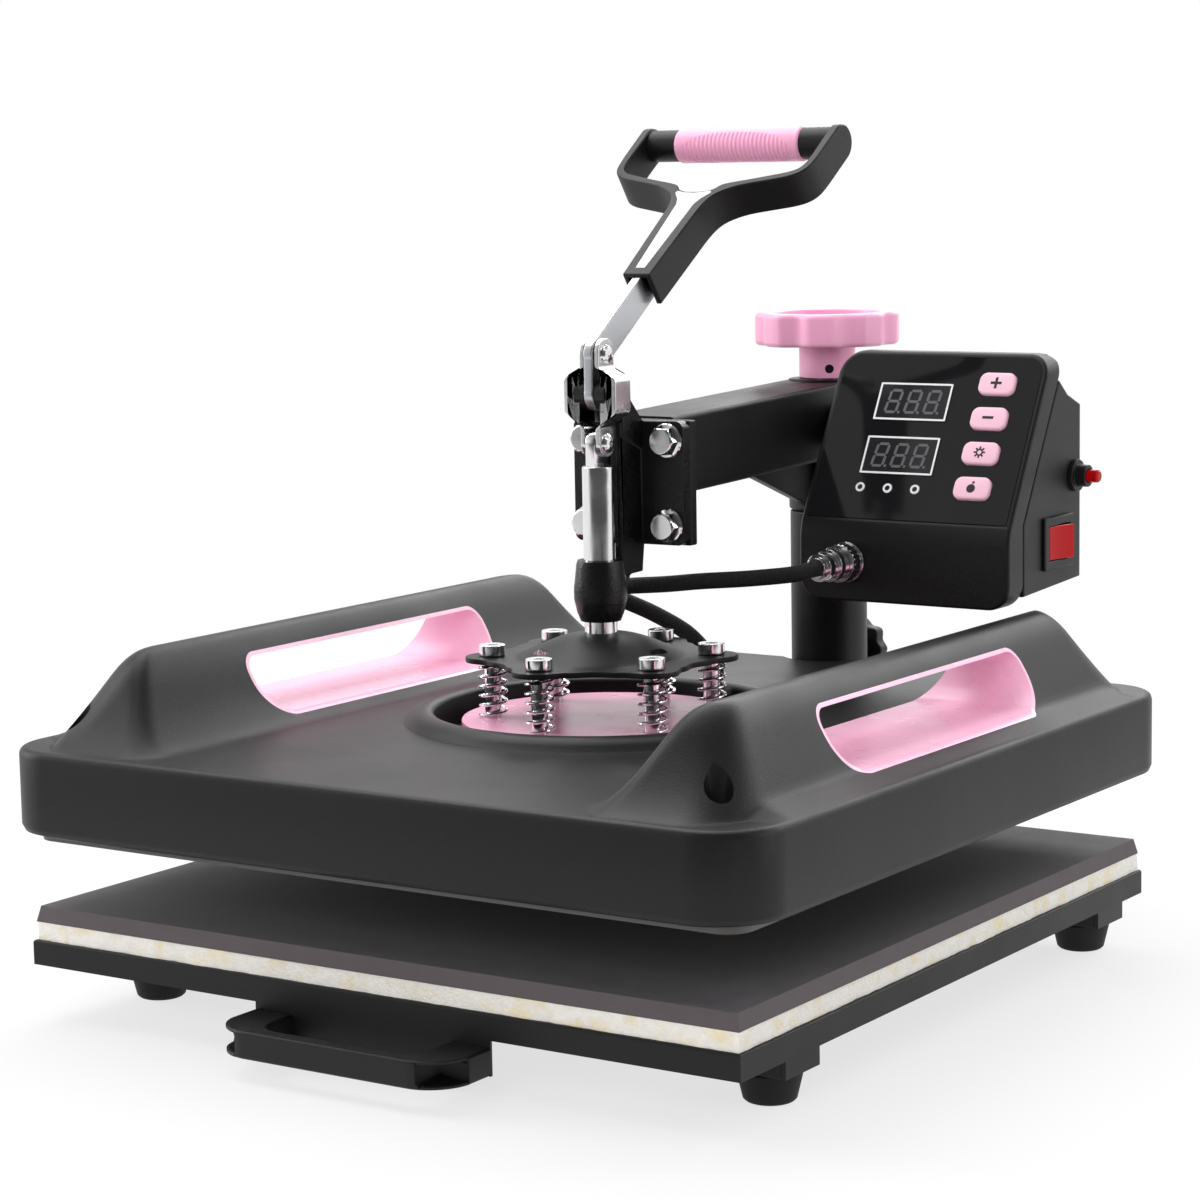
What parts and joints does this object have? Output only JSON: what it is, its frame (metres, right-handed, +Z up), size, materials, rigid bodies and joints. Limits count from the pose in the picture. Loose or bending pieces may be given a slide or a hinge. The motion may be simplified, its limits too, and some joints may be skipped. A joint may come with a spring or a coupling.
{
  "type": "combo heat press",
  "caption": "Swing-arm heat press with a toggle lever, sprung heated platen under a ridged cover, digital control box and a slide-out padded tray.",
  "frame": {"origin": "on the floor under the middle of the bounding box at rest, press open, lever up", "axes": "+X operator's right, +Y rear (column side), +Z up"},
  "size_m": [0.404, 0.4788, 0.4056],
  "materials": {
    "black_paint": "fine-texture satin paint",
    "black_cast": "cast, gloss black paint",
    "black_plastic": "moulded, satin",
    "black_rubber": "soft, matte",
    "zinc_steel": "zinc plated",
    "bright_steel": "bright nickel and chrome",
    "pink_plastic": "moulded, semi-gloss",
    "pink_paint": "semi-gloss paint",
    "white_plastic": "moulded, gloss",
    "panel_gloss": "high gloss film",
    "display_grey": "unlit display window",
    "red_plastic": "moulded, gloss",
    "felt": "pressed fibre felt",
    "silicone": "foamed silicone, matte",
    "coated_plate": "non-stick coated",
    "braid": "braided sleeve"
  },
  "bodies": {
    "base": {"base_frame": "black_paint", "tube_caps": "black_plastic", "rubber_feet": "black_rubber", "slide_rails": "zinc_steel", "column": "black_paint"},
    "lock": {"lock_knob": "black_plastic"},
    "tray": {"tray_pan": "black_paint", "tray_runners": "zinc_steel", "felt_pad": "felt", "silicone_pad": "silicone", "tray_pull": "black_plastic", "pull_screws": "zinc_steel"},
    "spindle": {"spindle": "zinc_steel"},
    "arm": {"arm_tube": "black_paint", "arm_sleeve": "black_paint", "end_plate": "black_paint", "head_bracket": "black_cast", "flange_bolts": "bright_steel", "pivot_pin": "bright_steel", "box_bracket": "black_paint", "box_front": "black_plastic", "box_rear": "black_plastic", "box_screws": "zinc_steel", "panel": "panel_gloss", "displays": "display_grey", "led_rings": "white_plastic", "switch_bezel": "black_plastic", "reset_bush": "black_plastic", "power_inlet": "black_plastic", "connector_socket": "bright_steel", "connector_plug": "bright_steel", "cable": "braid"},
    "knob": {"pressure_knob": "pink_plastic"},
    "key_plus": {"button_plus": "pink_plastic"},
    "key_minus": {"button_minus": "pink_plastic"},
    "key_set": {"button_set": "pink_plastic"},
    "key_mode": {"button_mode": "pink_plastic"},
    "rocker": {"rocker_switch": "red_plastic"},
    "reset": {"reset_button": "red_plastic"},
    "con_ring": {"connector_ring": "bright_steel"},
    "lever": {"lever_bar": "zinc_steel", "lever_handle": "black_plastic", "handle_inset": "white_plastic", "grip_core": "black_plastic", "lever_grip": "pink_plastic"},
    "link": {"link_plates": "bright_steel", "link_rivets": "bright_steel"},
    "plunger": {"plunger_rod": "bright_steel", "pressure_plate": "black_paint"},
    "platen": {"heat_plate": "coated_plate", "platen_hub": "zinc_steel", "heat_cover": "black_plastic", "recess_floor": "black_plastic", "cover_screws": "zinc_steel", "left_grip": "pink_plastic", "right_grip": "pink_plastic", "spring_plate": "pink_paint", "spring_bolts": "bright_steel", "coil_springs": "bright_steel", "cable_gland": "black_plastic"}
  },
  "joints": [
    {"name": "arm_swing", "type": "hinge", "parent": "base", "child": "spindle", "pos_m": [0, 0.20185, 0.1], "axis": [0, 0, 1], "range_deg": [-85, 85]},
    {"name": "arm_lift", "type": "slide", "parent": "spindle", "child": "arm", "axis": [0, 0, 1], "range_m": [0, 0.006]},
    {"name": "knob_turn", "type": "hinge", "parent": "arm", "child": "knob", "pos_m": [0, 0.20185, 0.3], "axis": [0, 0, 1], "range_deg": [0, 540]},
    {"name": "lever_swing", "type": "hinge", "parent": "arm", "child": "lever", "pos_m": [0, -0.01515, 0.28165], "axis": [1, 0, 0], "range_deg": [0, 180]},
    {"name": "link_swing", "type": "hinge", "parent": "lever", "child": "link", "pos_m": [0, -0.01515, 0.3003], "axis": [1, 0, 0], "range_deg": [-180, 0]},
    {"name": "plunger_slide", "type": "slide", "parent": "arm", "child": "plunger", "axis": [0, 0, -1], "range_m": [0, 0.0373]},
    {"name": "platen_float", "type": "slide", "parent": "plunger", "child": "platen", "axis": [0, 0, 1], "range_m": [0, 0.0062], "deforming": ["coil_springs"]},
    {"name": "tray_slide", "type": "slide", "parent": "base", "child": "tray", "axis": [0, -1, 0], "range_m": [0, 0.15]},
    {"name": "lock_turn", "type": "hinge", "parent": "base", "child": "lock", "pos_m": [0, 0.2353, 0.1285], "axis": [0, 1, 0], "range_deg": [-180, 180]},
    {"name": "press_plus", "type": "slide", "parent": "arm", "child": "key_plus", "axis": [0, 0.8742, -0.4856], "range_m": [0, 0.001], "stiffness_N_per_m": 800},
    {"name": "press_minus", "type": "slide", "parent": "arm", "child": "key_minus", "axis": [0, 0.8742, -0.4856], "range_m": [0, 0.001], "stiffness_N_per_m": 800},
    {"name": "press_set", "type": "slide", "parent": "arm", "child": "key_set", "axis": [0, 0.8742, -0.4856], "range_m": [0, 0.001], "stiffness_N_per_m": 800},
    {"name": "press_mode", "type": "slide", "parent": "arm", "child": "key_mode", "axis": [0, 0.8742, -0.4856], "range_m": [0, 0.001], "stiffness_N_per_m": 800},
    {"name": "rocker_tilt", "type": "hinge", "parent": "arm", "child": "rocker", "pos_m": [0.15, 0.16485, 0.20015], "axis": [0, 0, 1], "range_deg": [0, 20]},
    {"name": "reset_press", "type": "slide", "parent": "arm", "child": "reset", "axis": [-1, 0, 0], "range_m": [0, 0.002], "stiffness_N_per_m": 500},
    {"name": "ring_turn", "type": "hinge", "parent": "arm", "child": "con_ring", "pos_m": [0.0616, 0.11265, 0.19145], "axis": [0, 1, 0], "range_deg": [-180, 180]}
  ],
  "couplings": [
    {"joint": "knob_turn", "follows": "arm_lift", "rad_per_m": 1570.7},
    {"joint": "link_swing", "follows": "lever_swing", "ratio": -1},
    {"joint": "plunger_slide", "follows": "lever_swing", "m_per_rad": 0.01187},
    {"joint": "platen_float", "follows": "lever_swing", "m_per_rad": 0.001973}
  ]
}
